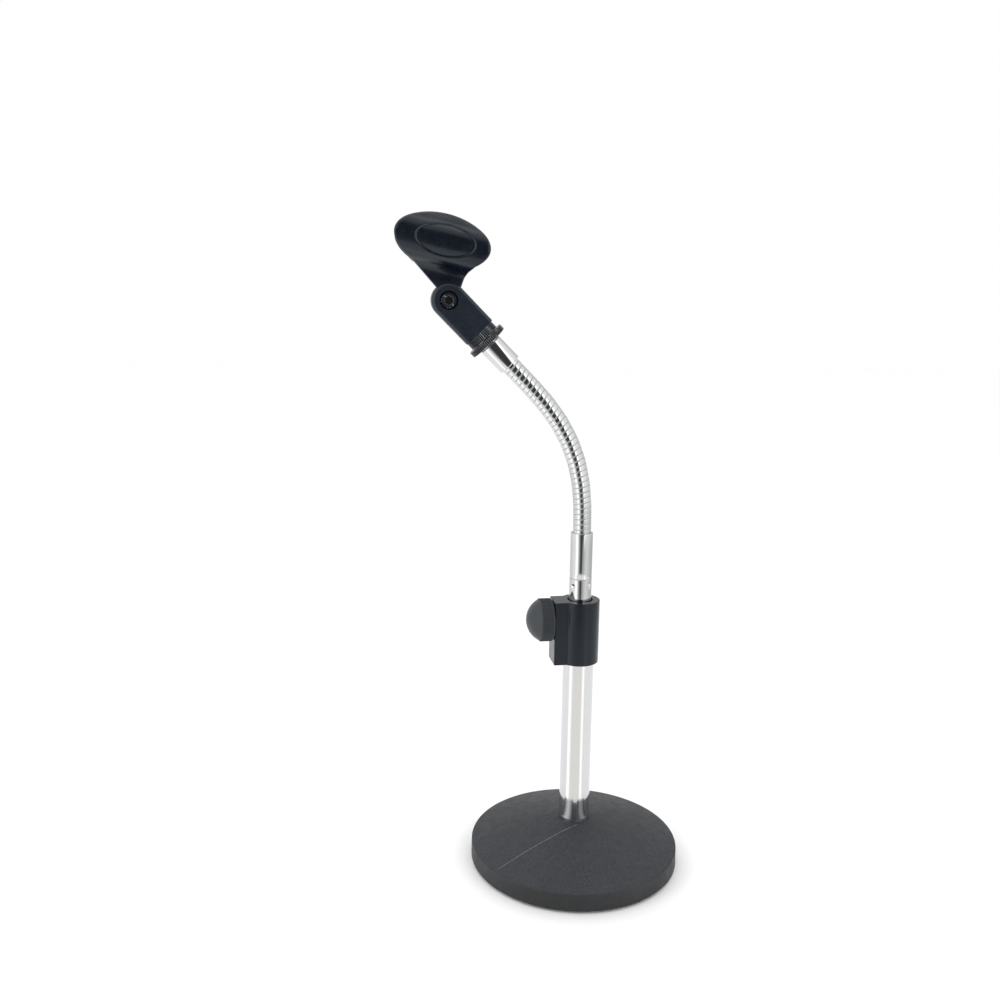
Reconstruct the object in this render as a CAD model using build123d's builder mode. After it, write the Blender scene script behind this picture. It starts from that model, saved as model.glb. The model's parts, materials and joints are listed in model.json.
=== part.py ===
"""Desktop gooseneck microphone stand: weighted round base, telescopic tube with a clamp collar, flexible neck
and a tilting microphone clip.

Units are millimetres.  The origin is the centre of the base's underside, on the table.  +Z is up, the neck
bends towards -X, and the plane of that bend (XZ) is the plane of symmetry of everything above the collar.
"""

import os
from math import atan2, cos, degrees, radians, sin, sqrt

from build123d import *

# ---------------------------------------------------------------- driving dimensions
gap = 0.05  # radial running clearance of a shaft in its hole
fit_gap = 0.02  # radial room left between pieces that are fixed together

# round base
base_radius = 75.0
base_top_height = 31.0
base_edge_height = 14.0
pad_thickness = 1.5
pad_radius = 72.0
base_wall = 8.5
boss_radius = 18.0
socket_floor = 17.0
bolt_radius = 4.0

# telescopic tube
outer_tube_radius = 11.0
outer_tube_bore = 9.8
outer_tube_top = 172.0
inner_tube_radius = 8.0
inner_tube_bore = 6.8
inner_tube_foot = 50.0
seam_height = 212.4
bush_height = 14.0

# clamp collar and its knob
collar_foot = 151.2
collar_top = 196.5
collar_radius = 14.0
collar_bore = 9.0
block_half_width = 9.5
block_reach = 19.6
clamp_height = 182.1
clamp_turn = 183.4  # direction of the knob's axis about Z, in degrees from +X
screw_radius = 3.0
clamp_pad_radius = 4.5
clamp_pad_length = 2.9
knob_radius = 15.1
knob_back = 20.2
knob_rim_length = 8.8
knob_tip = 38.2

# flexible neck
neck_foot = 244.8
neck_radius = 6.5
link_pitch = 7.65
joint_count = 17
neck_lean = 44.7  # degrees from vertical at the neck's upper end
bend_length = 120.0
ball_radius = 3.0
ball_neck_radius = 1.6
shoulder_height = 4.5  # above a link's lower joint centre
rim_depth = 1.3  # below a link's lower joint centre
face_slope = 8.0  # degrees that a link's end faces fall back towards the outside

# neck's upper fitting, distances along its axis from the last joint
coil_end = 5.4
ring_start = 25.6
ring_thickness = 3.8
ring_radius = 13.8
insert_start = 29.9
barrel_start = 35.4
pivot_distance = 64.2
thread_radius = 7.9
insert_radius = 10.9
insert_sleeve_radius = 9.4
stud_end = 46.0
insert_end = 48.0

# clevis barrel and clip
barrel_half_width = 11.5
slot_half_width = 4.4
slot_depth = 12.0  # below the pivot
tongue_half_width = 3.5
tongue_radius = 9.5
pivot_radius = 2.5
head_recess_radius = 6.15
head_recess_depth = 5.0
head_radius = 5.25
mic_radius = 13.8
clip_wall = 3.0
wing_half_length = 31.4
wing_half_height = 16.9
wing_tilt = 12.7  # degrees that the microphone's axis falls towards +X
web_fillet = 8.0  # between the tongue and the channel
panel_half_length = 19.7  # oval panel sunk in the outside of each wing
panel_half_height = 9.25
panel_depth = 0.6
wing_centre_x = -4.3  # from the pivot
wing_centre_z = 37.5

os.makedirs("parts", exist_ok=True)


def save(piece, name):
    """Labels a finished piece and writes its STEP file."""
    piece.part.label = name
    export_step(piece.part, f"parts/{name}.step")


def axial_plane(origin, lean=0.0):
    """A plane for profiles turned about an axis in XZ that leans `lean` degrees towards -X.

    Local x is the radius and local y runs along the axis.
    """
    return Plane(origin=origin, x_dir=(cos(radians(lean)), 0, sin(radians(lean))), z_dir=(0, -1, 0))


def along(origin, lean, distance):
    """The point `distance` from origin on an axis that leans `lean` degrees towards -X."""
    return (origin[0] - distance * sin(radians(lean)), 0, origin[2] + distance * cos(radians(lean)))


def ease(t):
    """Smooth step from 0 to 1, by which the neck takes up its bend."""
    t = min(1.0, max(0.0, t))
    return 3 * t * t - 2 * t**3


# ---------------------------------------------------------------- neck curve
# The neck's joints alternate: even ones bend it in XZ, odd ones sway it across.  joint_at[k] is a joint's
# centre and lean_after[k] the lean of the link above it.
joint_at = [(0.0, 0.0, neck_foot + link_pitch / 2)]
lean_after = []
for k in range(joint_count):
    if k % 2 == 0:
        lean = neck_lean * ease((k + 1.5) * link_pitch / bend_length)
    if k == joint_count - 1:
        lean = neck_lean
    lean_after.append(lean)
    if k < joint_count - 1:
        joint_at.append(along(joint_at[k], lean, link_pitch))
head_foot = joint_at[-1]
pivot = along(head_foot, neck_lean, pivot_distance)
up = Axis((0, 0, 0), (0, 0, 1))
head_axis = Axis(head_foot, along((0, 0, 0), neck_lean, 1.0))

# ---------------------------------------------------------------- base
# Cast disc: upright rim, gently domed top, and a hollow underside round a central boss.
dome_rise = 1.2
rim_round = 0.8
ceiling_edge = base_edge_height + 1.0 - base_wall
with BuildPart() as base_casting:
    with BuildSketch(Plane.XZ):
        with BuildLine():
            foot_in = Line((0, pad_thickness), (base_radius, pad_thickness))
            rim = Line(foot_in @ 1, (base_radius - 0.25, base_edge_height))
            slope_end = (outer_tube_radius + 1.2, base_top_height)
            mid_height = (base_edge_height + base_top_height) / 2 + dome_rise
            top = ThreePointArc(rim @ 1, ((base_radius + outer_tube_radius) / 2, mid_height), slope_end)
            Line(top @ 1, (0, base_top_height))
            Line((0, base_top_height), (0, pad_thickness))
        make_face()
        with BuildLine():
            inner = Line((boss_radius, pad_thickness), (base_radius - 12, pad_thickness))
            outer_side = Line(inner @ 1, (base_radius - 13, ceiling_edge))
            ceiling = Line(outer_side @ 1, (boss_radius + 1, base_top_height - base_wall - 3))
            Line(ceiling @ 1, (boss_radius, pad_thickness))
        make_face(mode=Mode.SUBTRACT)
    revolve(axis=up)
    with Locations((0, 0, base_top_height)):
        Hole(outer_tube_radius + gap, depth=base_top_height - socket_floor)
    Hole(bolt_radius + 0.3)
    with Locations(Location((0, 0, pad_thickness), (180, 0, 0))):
        Hole(10.0, depth=9.5 - pad_thickness)
    rim_edges = base_casting.edges().filter_by(GeomType.CIRCLE)
    rim_edges = rim_edges.filter_by(lambda e: e.radius > base_radius - 1)
    fillet(rim_edges, rim_round)
save(base_casting, "base_casting")

# Soft sheet glued under the casting.
with BuildPart() as foot_pad:
    Cylinder(pad_radius, pad_thickness, align=(Align.CENTER, Align.CENTER, Align.MIN))
    fillet(foot_pad.edges().group_by(Axis.Z)[0], 0.3)
save(foot_pad, "foot_pad")

# Bolt from below through the boss into the plug in the tube's foot, with flat and spring washers.
boss_floor = 9.5
washer_thickness = 1.6
spring_thickness = 2.0
washer_bore = bolt_radius + 0.2
bolt_head_top = boss_floor - washer_thickness - spring_thickness
bolt_head_height = bolt_head_top - pad_thickness - 0.3
with BuildPart() as base_bolt:
    with BuildSketch(Plane.XY.offset(bolt_head_top - bolt_head_height)):
        RegularPolygon(7.2, 6)
    extrude(amount=bolt_head_height)
    with BuildSketch(Plane.XY.offset(bolt_head_top)):
        Circle(bolt_radius - gap)
    extrude(amount=34.0 - bolt_head_top)
    chamfer(base_bolt.edges().group_by(Axis.Z)[-1], 0.8)
save(base_bolt, "base_bolt")

with BuildPart() as base_washer:
    with BuildSketch(Plane.XY.offset(boss_floor - washer_thickness)):
        Circle(8.5)
        Circle(washer_bore, mode=Mode.SUBTRACT)
    extrude(amount=washer_thickness)
save(base_washer, "base_washer")

with BuildPart() as spring_washer:
    with BuildSketch(Plane.XY.offset(bolt_head_top)):
        Circle(7.0)
        Circle(washer_bore, mode=Mode.SUBTRACT)
        with Locations((5.6, 0)):
            Rectangle(4.0, 0.8, mode=Mode.SUBTRACT)
    extrude(amount=spring_thickness)
save(spring_washer, "spring_washer")

plug_top = 37.0
with BuildPart() as tube_foot_plug:
    with BuildSketch(Plane.XY.offset(socket_floor)):
        Circle(outer_tube_bore)
        Circle(bolt_radius, mode=Mode.SUBTRACT)
    extrude(amount=plug_top - socket_floor)
    chamfer(tube_foot_plug.edges().group_by(Axis.Z)[-1], 0.6)
save(tube_foot_plug, "tube_foot_plug")

# ---------------------------------------------------------------- telescopic tube
with BuildPart() as outer_tube:
    with BuildSketch(Plane.XY.offset(socket_floor)):
        Circle(outer_tube_radius)
        Circle(outer_tube_bore, mode=Mode.SUBTRACT)
    extrude(amount=outer_tube_top - socket_floor)
save(outer_tube, "outer_tube")

# The inner tube stands on an end plug, and turns in a sliding bush that is held between the plug's
# flange and a stop ring.  The bush can't pass the collar, so the tube can't be pulled out.
bush_foot = inner_tube_foot + 0.5
with BuildPart() as inner_tube:
    with BuildSketch(Plane.XY.offset(inner_tube_foot)):
        Circle(inner_tube_radius)
        Circle(inner_tube_bore, mode=Mode.SUBTRACT)
    extrude(amount=seam_height - 0.3 - inner_tube_foot)
save(inner_tube, "inner_tube")

flange_thickness = 2.0
with BuildPart() as end_plug:
    with BuildSketch(Plane.XY.offset(inner_tube_foot - flange_thickness)):
        Circle(inner_tube_radius + 1.2)
    extrude(amount=flange_thickness)
    with BuildSketch(Plane.XY.offset(inner_tube_foot)):
        Circle(inner_tube_bore - fit_gap)
    extrude(amount=12.0)
    chamfer(end_plug.edges().group_by(Axis.Z)[-1], 0.8)
save(end_plug, "end_plug")

with BuildPart() as tube_bush:
    with BuildSketch(Plane.XY.offset(bush_foot)):
        Circle(outer_tube_bore - gap)
        Circle(inner_tube_radius + gap, mode=Mode.SUBTRACT)
    extrude(amount=bush_height)
save(tube_bush, "tube_bush")

stop_foot = bush_foot + bush_height + 0.3
stop_thickness = 2.0
with BuildPart() as stop_ring:
    with BuildSketch(Plane.XY.offset(stop_foot)):
        Circle(inner_tube_radius + 0.9)
        Circle(inner_tube_radius + fit_gap, mode=Mode.SUBTRACT)
    extrude(amount=stop_thickness)
save(stop_ring, "stop_ring")

# ---------------------------------------------------------------- clamp collar
# The clamp's own plan has local x towards the knob.
clamp_plan = Plane(
    origin=(0, 0, 0), x_dir=(cos(radians(clamp_turn)), sin(radians(clamp_turn)), 0), z_dir=(0, 0, 1)
)


def on_clamp_axis(distance):
    """A plane square to the knob's axis, `distance` from the tube's centreline, facing the knob."""
    toward = (cos(radians(clamp_turn)), sin(radians(clamp_turn)), 0)
    return Plane(
        origin=(distance * toward[0], distance * toward[1], clamp_height), x_dir=(0, 0, 1), z_dir=toward
    )


nut_foot = 14.3
with BuildPart() as clamp_collar:
    with BuildSketch(clamp_plan.offset(collar_foot)):
        Circle(collar_radius)
        with Locations((block_reach / 2, 0)):
            Rectangle(block_reach, 2 * block_half_width)
    extrude(amount=collar_top - collar_foot)
    uprights = clamp_collar.edges().filter_by(Axis.Z)
    near_knob = uprights.filter_by(lambda e: clamp_plan.to_local_coords(e.center()).X > block_reach - 1)
    corners = uprights.filter_by(lambda e: 8 < clamp_plan.to_local_coords(e.center()).X < block_reach - 1)
    fillet(near_knob, 0.8)
    fillet(corners, 1.6)
    levels = clamp_collar.edges().group_by(Axis.Z)
    fillet(levels[0] + levels[-1], 0.6)
    with BuildSketch(Plane.XY.offset(collar_foot)):
        Circle(outer_tube_radius + gap)
    extrude(amount=outer_tube_top - collar_foot, mode=Mode.SUBTRACT)
    with BuildSketch(Plane.XY.offset(outer_tube_top)):
        Circle(collar_bore)
    extrude(amount=collar_top - outer_tube_top, mode=Mode.SUBTRACT)
    with BuildSketch(on_clamp_axis(0)):
        Circle(clamp_pad_radius + 0.1)
    extrude(amount=nut_foot, mode=Mode.SUBTRACT)
    with BuildSketch(on_clamp_axis(nut_foot)):
        Circle(5.2)
    extrude(amount=block_reach - nut_foot, mode=Mode.SUBTRACT)
save(clamp_collar, "clamp_collar")

# Nylon sleeve that centres the inner tube just under the collar's mouth.
with BuildPart() as collar_sleeve:
    with BuildSketch(Plane.XY.offset(collar_top - 8.5)):
        Circle(collar_bore)
        Circle(inner_tube_radius + gap, mode=Mode.SUBTRACT)
    extrude(amount=5.5)
save(collar_sleeve, "collar_sleeve")

with BuildPart() as clamp_nut:
    with BuildSketch(on_clamp_axis(nut_foot)):
        Circle(5.2)
        Circle(screw_radius + gap, mode=Mode.SUBTRACT)
    extrude(amount=block_reach - nut_foot - 0.1)
save(clamp_nut, "clamp_nut")

# Pressure pad, hollowed to the tube's curve, that turns freely on the screw's tip.
pad_start = inner_tube_radius + 0.1
pad_socket = 1.5
with BuildPart() as pressure_pad:
    with BuildSketch(on_clamp_axis(0)):
        Circle(clamp_pad_radius)
    extrude(amount=pad_start + clamp_pad_length)
    Cylinder(pad_start, 4 * clamp_height, mode=Mode.SUBTRACT)
    with BuildSketch(on_clamp_axis(pad_start + clamp_pad_length - pad_socket)):
        Circle(screw_radius + gap)
    extrude(amount=pad_socket, mode=Mode.SUBTRACT)
save(pressure_pad, "pressure_pad")

screw_tip = pad_start + clamp_pad_length - pad_socket + 0.1
screw_head_start = 25.0
screw_head_radius = 5.0
screw_head_length = 4.0
with BuildPart() as clamp_screw:
    with BuildSketch(on_clamp_axis(screw_tip)):
        Circle(screw_radius)
    extrude(amount=screw_head_start - screw_tip)
    with BuildSketch(on_clamp_axis(screw_head_start)):
        RegularPolygon(screw_head_radius, 6)
    extrude(amount=screw_head_length)
save(clamp_screw, "clamp_screw")

knob_plane = Plane(
    origin=(0, 0, clamp_height),
    x_dir=(cos(radians(clamp_turn)), sin(radians(clamp_turn)), 0),
    z_dir=(sin(radians(clamp_turn)), -cos(radians(clamp_turn)), 0),
)
knob_rim = knob_back + knob_rim_length
dome_foot = (knob_rim + 0.4, knob_radius - 0.8)
dome_centre = (knob_tip**2 - dome_foot[0] ** 2 - dome_foot[1] ** 2) / (2 * (knob_tip - dome_foot[0]))
dome_radius = knob_tip - dome_centre
with BuildPart() as clamp_knob:
    with BuildSketch(knob_plane):
        with BuildLine():
            back = Line((knob_back, 0), (knob_back, knob_radius - 1.0))
            corner = Line(back @ 1, (knob_back + 1.0, knob_radius))
            side = Line(corner @ 1, (knob_rim, knob_radius))
            step = Line(side @ 1, dome_foot)
            dome = RadiusArc(step @ 1, (knob_tip, 0), dome_radius)
            Line(dome @ 1, (knob_back, 0))
        make_face()
    revolve(axis=Axis((0, 0, clamp_height), on_clamp_axis(0).z_dir))
    with BuildSketch(on_clamp_axis(knob_back)):
        Circle(screw_radius)
    extrude(amount=screw_head_start - knob_back, mode=Mode.SUBTRACT)
    with BuildSketch(on_clamp_axis(screw_head_start)):
        RegularPolygon(screw_head_radius, 6)
    extrude(amount=screw_head_length, mode=Mode.SUBTRACT)
save(clamp_knob, "clamp_knob")

# ---------------------------------------------------------------- flexible neck
# The coil is divided into short links.  Each has a socket below, on the ball of the link under it, and a
# ball on top.  Their end faces slope back so that they clear each other at full bend.
slope = sin(radians(face_slope)) / cos(radians(face_slope))


def add_socket(plane, axis, centre):
    """Cuts the socket for the ball below, open downwards, in the part under construction."""
    with BuildSketch(plane) as below_rim:
        with BuildLine():
            low = -rim_depth - 2.0
            wide = neck_radius + 1.0
            mouth = sqrt((ball_radius + gap) ** 2 - rim_depth**2)
            Line((0, -rim_depth), (mouth, -rim_depth))
            Line((mouth, -rim_depth), (wide, -rim_depth + (wide - mouth) * slope))
            Line((wide, -rim_depth + (wide - mouth) * slope), (wide, low))
            Line((wide, low), (0, low))
            Line((0, low), (0, -rim_depth))
        make_face()
    revolve(below_rim.sketch, axis=axis, mode=Mode.SUBTRACT)
    with Locations(Location(centre)):
        Sphere(ball_radius + gap, mode=Mode.SUBTRACT)


def add_ball(plane, axis, base_height, shoulder, centre_height, centre):
    """Adds a solid drum from base_height to the shoulder, with the ball above it on its neck."""
    with BuildSketch(plane) as drum:
        with BuildLine():
            foot = Line((0, base_height), (neck_radius, base_height))
            wall = Line(foot @ 1, (neck_radius, shoulder - (neck_radius - ball_neck_radius) * slope))
            face = Line(wall @ 1, (ball_neck_radius, shoulder))
            post = Line(face @ 1, (ball_neck_radius, centre_height))
            Line(post @ 1, (0, centre_height))
            Line((0, centre_height), (0, base_height))
        make_face()
    revolve(drum.sketch, axis=axis)
    with Locations(Location(centre)):
        Sphere(ball_radius)


for number in range(1, joint_count):
    start = joint_at[number - 1]
    lean = lean_after[number - 1]
    link_plane = axial_plane(start, lean)
    link_axis = Axis(start, along((0, 0, 0), lean, 1.0))
    with BuildPart() as gooseneck_link:
        add_ball(link_plane, link_axis, -rim_depth, shoulder_height, link_pitch, joint_at[number])
        add_socket(link_plane, link_axis, start)
    save(gooseneck_link, f"gooseneck_link_{number:02d}")

# Lower fitting: sleeve under the coil, with a spigot pressed into the inner tube.
spigot_foot = seam_height - 14.0
first_joint = joint_at[0][2]
with BuildPart() as neck_lower_ferrule:
    with BuildSketch(Plane.XY.offset(seam_height)):
        Circle(inner_tube_radius)
    extrude(amount=neck_foot - seam_height)
    chamfer(neck_lower_ferrule.edges().group_by(Axis.Z)[-1], 0.5)
    with BuildSketch(Plane.XY.offset(spigot_foot)):
        Circle(inner_tube_bore - fit_gap)
    extrude(amount=seam_height - spigot_foot)
    lower_shoulder = first_joint - link_pitch + shoulder_height
    add_ball(axial_plane((0, 0, 0)), up, neck_foot - 2.0, lower_shoulder, first_joint, joint_at[0])
save(neck_lower_ferrule, "neck_lower_ferrule")

# Upper fitting: sleeve over the coil's end, and the threaded stud that carries the clip.
head_plane = axial_plane(head_foot, neck_lean)
with BuildPart() as neck_upper_ferrule:
    with BuildSketch(head_plane):
        with BuildLine():
            stub_foot = Line((0, -rim_depth), (neck_radius, -rim_depth))
            stub = Line(stub_foot @ 1, (neck_radius, coil_end))
            lip = Line(stub @ 1, (inner_tube_radius - 0.4, coil_end))
            lip_bevel = Line(lip @ 1, (inner_tube_radius, coil_end + 0.4))
            sleeve = Line(lip_bevel @ 1, (inner_tube_radius, ring_start - 1.5))
            neck_in = Line(sleeve @ 1, (thread_radius - 0.5, ring_start - 0.8))
            relief = Line(neck_in @ 1, (thread_radius - 0.5, ring_start - 0.2))
            stud_step = Line(relief @ 1, (thread_radius, ring_start - 0.2))
            stud = Line(stud_step @ 1, (thread_radius, stud_end - 1.0))
            stud_bevel = Line(stud @ 1, (thread_radius - 1.0, stud_end))
            Line(stud_bevel @ 1, (0, stud_end))
            Line((0, stud_end), (0, -rim_depth))
        make_face()
    revolve(axis=head_axis)
    add_socket(head_plane, head_axis, head_foot)
save(neck_upper_ferrule, "neck_upper_ferrule")


def across_head(distance):
    """A plane square to the head's axis, `distance` above the last joint."""
    point = along(head_foot, neck_lean, distance)
    return Plane(origin=point, x_dir=head_plane.x_dir, z_dir=head_axis.direction)


# Jam ring on the stud, under the clip's thread insert.
with BuildPart() as lock_ring:
    with BuildSketch(across_head(ring_start)):
        Circle(ring_radius)
        Circle(thread_radius + gap, mode=Mode.SUBTRACT)
    extrude(amount=ring_thickness)
    chamfer(lock_ring.edges().filter_by(GeomType.CIRCLE), 0.3)
save(lock_ring, "lock_ring")

with BuildPart() as thread_insert:
    with BuildSketch(across_head(insert_start)):
        Circle(insert_radius)
    extrude(amount=barrel_start - insert_start)
    chamfer(thread_insert.edges(), 0.4)
    with BuildSketch(across_head(barrel_start)):
        Circle(insert_sleeve_radius)
    extrude(amount=insert_end - barrel_start)
    with BuildSketch(across_head(insert_start)):
        Circle(thread_radius + gap)
    extrude(amount=insert_end - insert_start, mode=Mode.SUBTRACT)
save(thread_insert, "thread_insert")

# ---------------------------------------------------------------- clevis barrel and pivot
pivot_plane = axial_plane(pivot, neck_lean)  # local x across the barrel, local y up its axis, z towards -Y
barrel_length = pivot_distance - barrel_start
with BuildPart() as clip_barrel:
    with BuildSketch(pivot_plane.offset(-barrel_half_width)):
        Circle(barrel_half_width)
        with Locations((0, -barrel_length / 2)):
            Rectangle(2 * barrel_half_width, barrel_length)
    extrude(amount=2 * barrel_half_width)
    face_edges = clip_barrel.faces().filter_by(Axis.Y).edges()
    low_edge = clip_barrel.faces().sort_by(head_axis)[0].edges()
    fillet([e for e in face_edges if e not in low_edge], 3.0)
    with BuildSketch(pivot_plane.offset(-slot_half_width)):
        with Locations((0, barrel_half_width)):
            Rectangle(4 * barrel_half_width, 2 * (barrel_half_width + slot_depth))
    extrude(amount=2 * slot_half_width, mode=Mode.SUBTRACT)
    with BuildSketch(across_head(barrel_start)):
        Circle(insert_sleeve_radius)
    extrude(amount=insert_end - barrel_start, mode=Mode.SUBTRACT)
    with BuildSketch(pivot_plane.offset(-barrel_half_width)):
        Circle(pivot_radius + gap)
    extrude(amount=2 * barrel_half_width, mode=Mode.SUBTRACT)
    with BuildSketch(pivot_plane.offset(barrel_half_width - head_recess_depth)):
        Circle(head_recess_radius)
    extrude(amount=head_recess_depth, mode=Mode.SUBTRACT)
    with BuildSketch(pivot_plane.offset(-barrel_half_width)):
        RegularPolygon(5.0, 6)
    extrude(amount=head_recess_depth, mode=Mode.SUBTRACT)
save(clip_barrel, "clip_barrel")

bolt_seat = barrel_half_width - head_recess_depth
socket_width = 5.0
with BuildPart() as pivot_bolt:
    with BuildSketch(pivot_plane.offset(bolt_seat)):
        Circle(head_radius)
    extrude(amount=head_recess_depth - 0.6)
    fillet(pivot_bolt.edges().sort_by(Axis.Y)[0], 0.6)
    with BuildSketch(pivot_plane.offset(-barrel_half_width + 1.0)):
        Circle(pivot_radius)
    extrude(amount=bolt_seat + barrel_half_width - 1.0)
    with BuildSketch(pivot_plane.offset(bolt_seat + 1.6)):
        RegularPolygon(socket_width / 2, 6, major_radius=False)
    extrude(amount=head_recess_depth, mode=Mode.SUBTRACT)
save(pivot_bolt, "pivot_bolt")

with BuildPart() as pivot_nut:
    with BuildSketch(pivot_plane.offset(-bolt_seat - 3.6)):
        RegularPolygon(4.7, 6)
        Circle(pivot_radius, mode=Mode.SUBTRACT)
    extrude(amount=3.6)
save(pivot_nut, "pivot_nut")

# Two fibre washers that give the tilt its friction.
with BuildPart() as friction_washers:
    for side in (-1, 1):
        low = min(side * (tongue_half_width + gap), side * slot_half_width)
        with BuildSketch(pivot_plane.offset(low)):
            Circle(8.0)
            Circle(pivot_radius, mode=Mode.SUBTRACT)
        extrude(amount=slot_half_width - tongue_half_width - gap)
save(friction_washers, "friction_washers")

# ---------------------------------------------------------------- microphone clip
# A U-shaped channel cut to an oval seen from the side, on a tongue that flares into it.
wing_centre = (pivot[0] + wing_centre_x, 0, pivot[2] + wing_centre_z)
mic_dir = (cos(radians(wing_tilt)), 0, -sin(radians(wing_tilt)))
wing_side = Plane(origin=wing_centre, x_dir=mic_dir, z_dir=(0, -1, 0))
wing_section = Plane(origin=wing_centre, x_dir=(0, 1, 0), z_dir=mic_dir)
lip_angle = 38.0  # above the channel's middle, where the wings stop closing in and flare out
lip_back_angle = 20.0
tongue_foot = -29.0  # from the middle of the wings, clear inside the clevis
outer_radius = mic_radius + clip_wall
lip_inner = (mic_radius * cos(radians(lip_angle)), mic_radius * sin(radians(lip_angle)))
fillet_y = tongue_half_width + web_fillet
fillet_n = -(((outer_radius + web_fillet) ** 2 - fillet_y**2) ** 0.5)
fillet_angle = degrees(atan2(-fillet_n, fillet_y))
with BuildPart() as clip_holder:
    with BuildSketch(wing_section.offset(-wing_half_length)):
        with BuildLine():
            inside = JernArc((0, -mic_radius), (1, 0), mic_radius, 90 + lip_angle)
            lip = Line(inside @ 1, (lip_inner[0] + 1.6, wing_half_height))
            tip = Line(lip @ 1, (lip_inner[0] + 4.2, wing_half_height))
            outside = CenterArc((0, 0), outer_radius, lip_back_angle, -lip_back_angle - fillet_angle)
            Line(tip @ 1, outside @ 0)
            flare = CenterArc((fillet_y, fillet_n), web_fillet, 180 - fillet_angle, fillet_angle)
            tongue_side = Line(flare @ 1, (tongue_half_width, tongue_foot))
            tongue_end = Line(tongue_side @ 1, (0, tongue_foot))
            Line(tongue_end @ 1, inside @ 0)
        make_face()
        mirror(about=Plane.YZ)
    extrude(amount=2 * wing_half_length)
    with BuildSketch(wing_side.offset(-2 * mic_radius)):
        Ellipse(wing_half_length, wing_half_height)
        with BuildLine():
            low_side = Line((-20.0, -13.0), (2.3, tongue_foot))
            across = Line(low_side @ 1, (18.3, tongue_foot))
            high_side = Spline(across @ 1, (19.4, -19.4), (21.4, -14.4), (24.9, -10.3))
            back = Line(high_side @ 1, (0, 0))
            Line(back @ 1, low_side @ 0)
        make_face()
    extrude(amount=4 * mic_radius, mode=Mode.INTERSECT)
    with BuildPart(mode=Mode.PRIVATE) as panels:
        with BuildSketch(wing_side.offset(-2 * mic_radius)):
            with Locations((1.9, 0.4)):
                Ellipse(panel_half_length, panel_half_height)
        extrude(amount=4 * mic_radius)
        with BuildSketch(wing_section.offset(-wing_half_length)):
            Circle(outer_radius - panel_depth)
        extrude(amount=2 * wing_half_length, mode=Mode.SUBTRACT)
    add(panels.part, mode=Mode.SUBTRACT)
    with BuildSketch(pivot_plane.offset(-tongue_half_width)):
        Circle(tongue_radius)
    extrude(amount=2 * tongue_half_width)
    with BuildSketch(pivot_plane.offset(-barrel_half_width)):
        Circle(pivot_radius + gap)
    extrude(amount=2 * barrel_half_width, mode=Mode.SUBTRACT)
save(clip_holder, "clip_holder")
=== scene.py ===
"""Looks of the desktop microphone stand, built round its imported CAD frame.

Everything is in metres, in the row frame: +Z up, the clip leans out towards -X, and the origin is under the
middle of the base.
"""

import json
from math import acos, ceil, cos, pi, radians, sin, sqrt, tan

import bpy
from mathutils import Matrix, Quaternion, Vector

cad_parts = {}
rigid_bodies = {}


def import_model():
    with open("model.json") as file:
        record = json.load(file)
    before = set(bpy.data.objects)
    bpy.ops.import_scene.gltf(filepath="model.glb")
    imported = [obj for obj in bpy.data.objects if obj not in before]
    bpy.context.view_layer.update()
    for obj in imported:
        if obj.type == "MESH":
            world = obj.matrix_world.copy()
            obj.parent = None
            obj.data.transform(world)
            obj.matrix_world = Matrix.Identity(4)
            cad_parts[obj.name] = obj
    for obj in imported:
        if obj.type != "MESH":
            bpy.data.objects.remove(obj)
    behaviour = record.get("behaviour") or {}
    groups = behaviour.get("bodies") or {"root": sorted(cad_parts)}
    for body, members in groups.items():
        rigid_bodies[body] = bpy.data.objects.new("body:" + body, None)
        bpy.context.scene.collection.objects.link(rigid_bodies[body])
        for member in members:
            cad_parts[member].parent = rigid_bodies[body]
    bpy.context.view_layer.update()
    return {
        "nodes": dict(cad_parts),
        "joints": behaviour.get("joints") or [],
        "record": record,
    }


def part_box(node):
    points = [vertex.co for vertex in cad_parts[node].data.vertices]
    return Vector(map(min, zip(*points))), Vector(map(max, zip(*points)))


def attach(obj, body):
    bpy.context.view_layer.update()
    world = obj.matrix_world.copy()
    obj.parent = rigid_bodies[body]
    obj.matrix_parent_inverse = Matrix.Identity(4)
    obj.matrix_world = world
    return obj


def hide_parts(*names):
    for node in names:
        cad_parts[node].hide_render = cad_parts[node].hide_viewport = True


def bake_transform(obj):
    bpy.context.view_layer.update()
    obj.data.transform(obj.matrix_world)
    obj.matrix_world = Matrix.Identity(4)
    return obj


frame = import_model()

MM = 0.001
UP = Vector((0, 0, 1))
JOINTS = {joint["name"]: joint for joint in frame["joints"]}


def joint_point(name):
    """A joint's centre at rest."""
    return Vector(JOINTS[name]["pos_m"])


def joint_axis(name):
    """A joint's axis at rest."""
    return Vector(JOINTS[name]["axis"]).normalized()


# ------------------------------------------------------------------------------------------- materials


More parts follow.
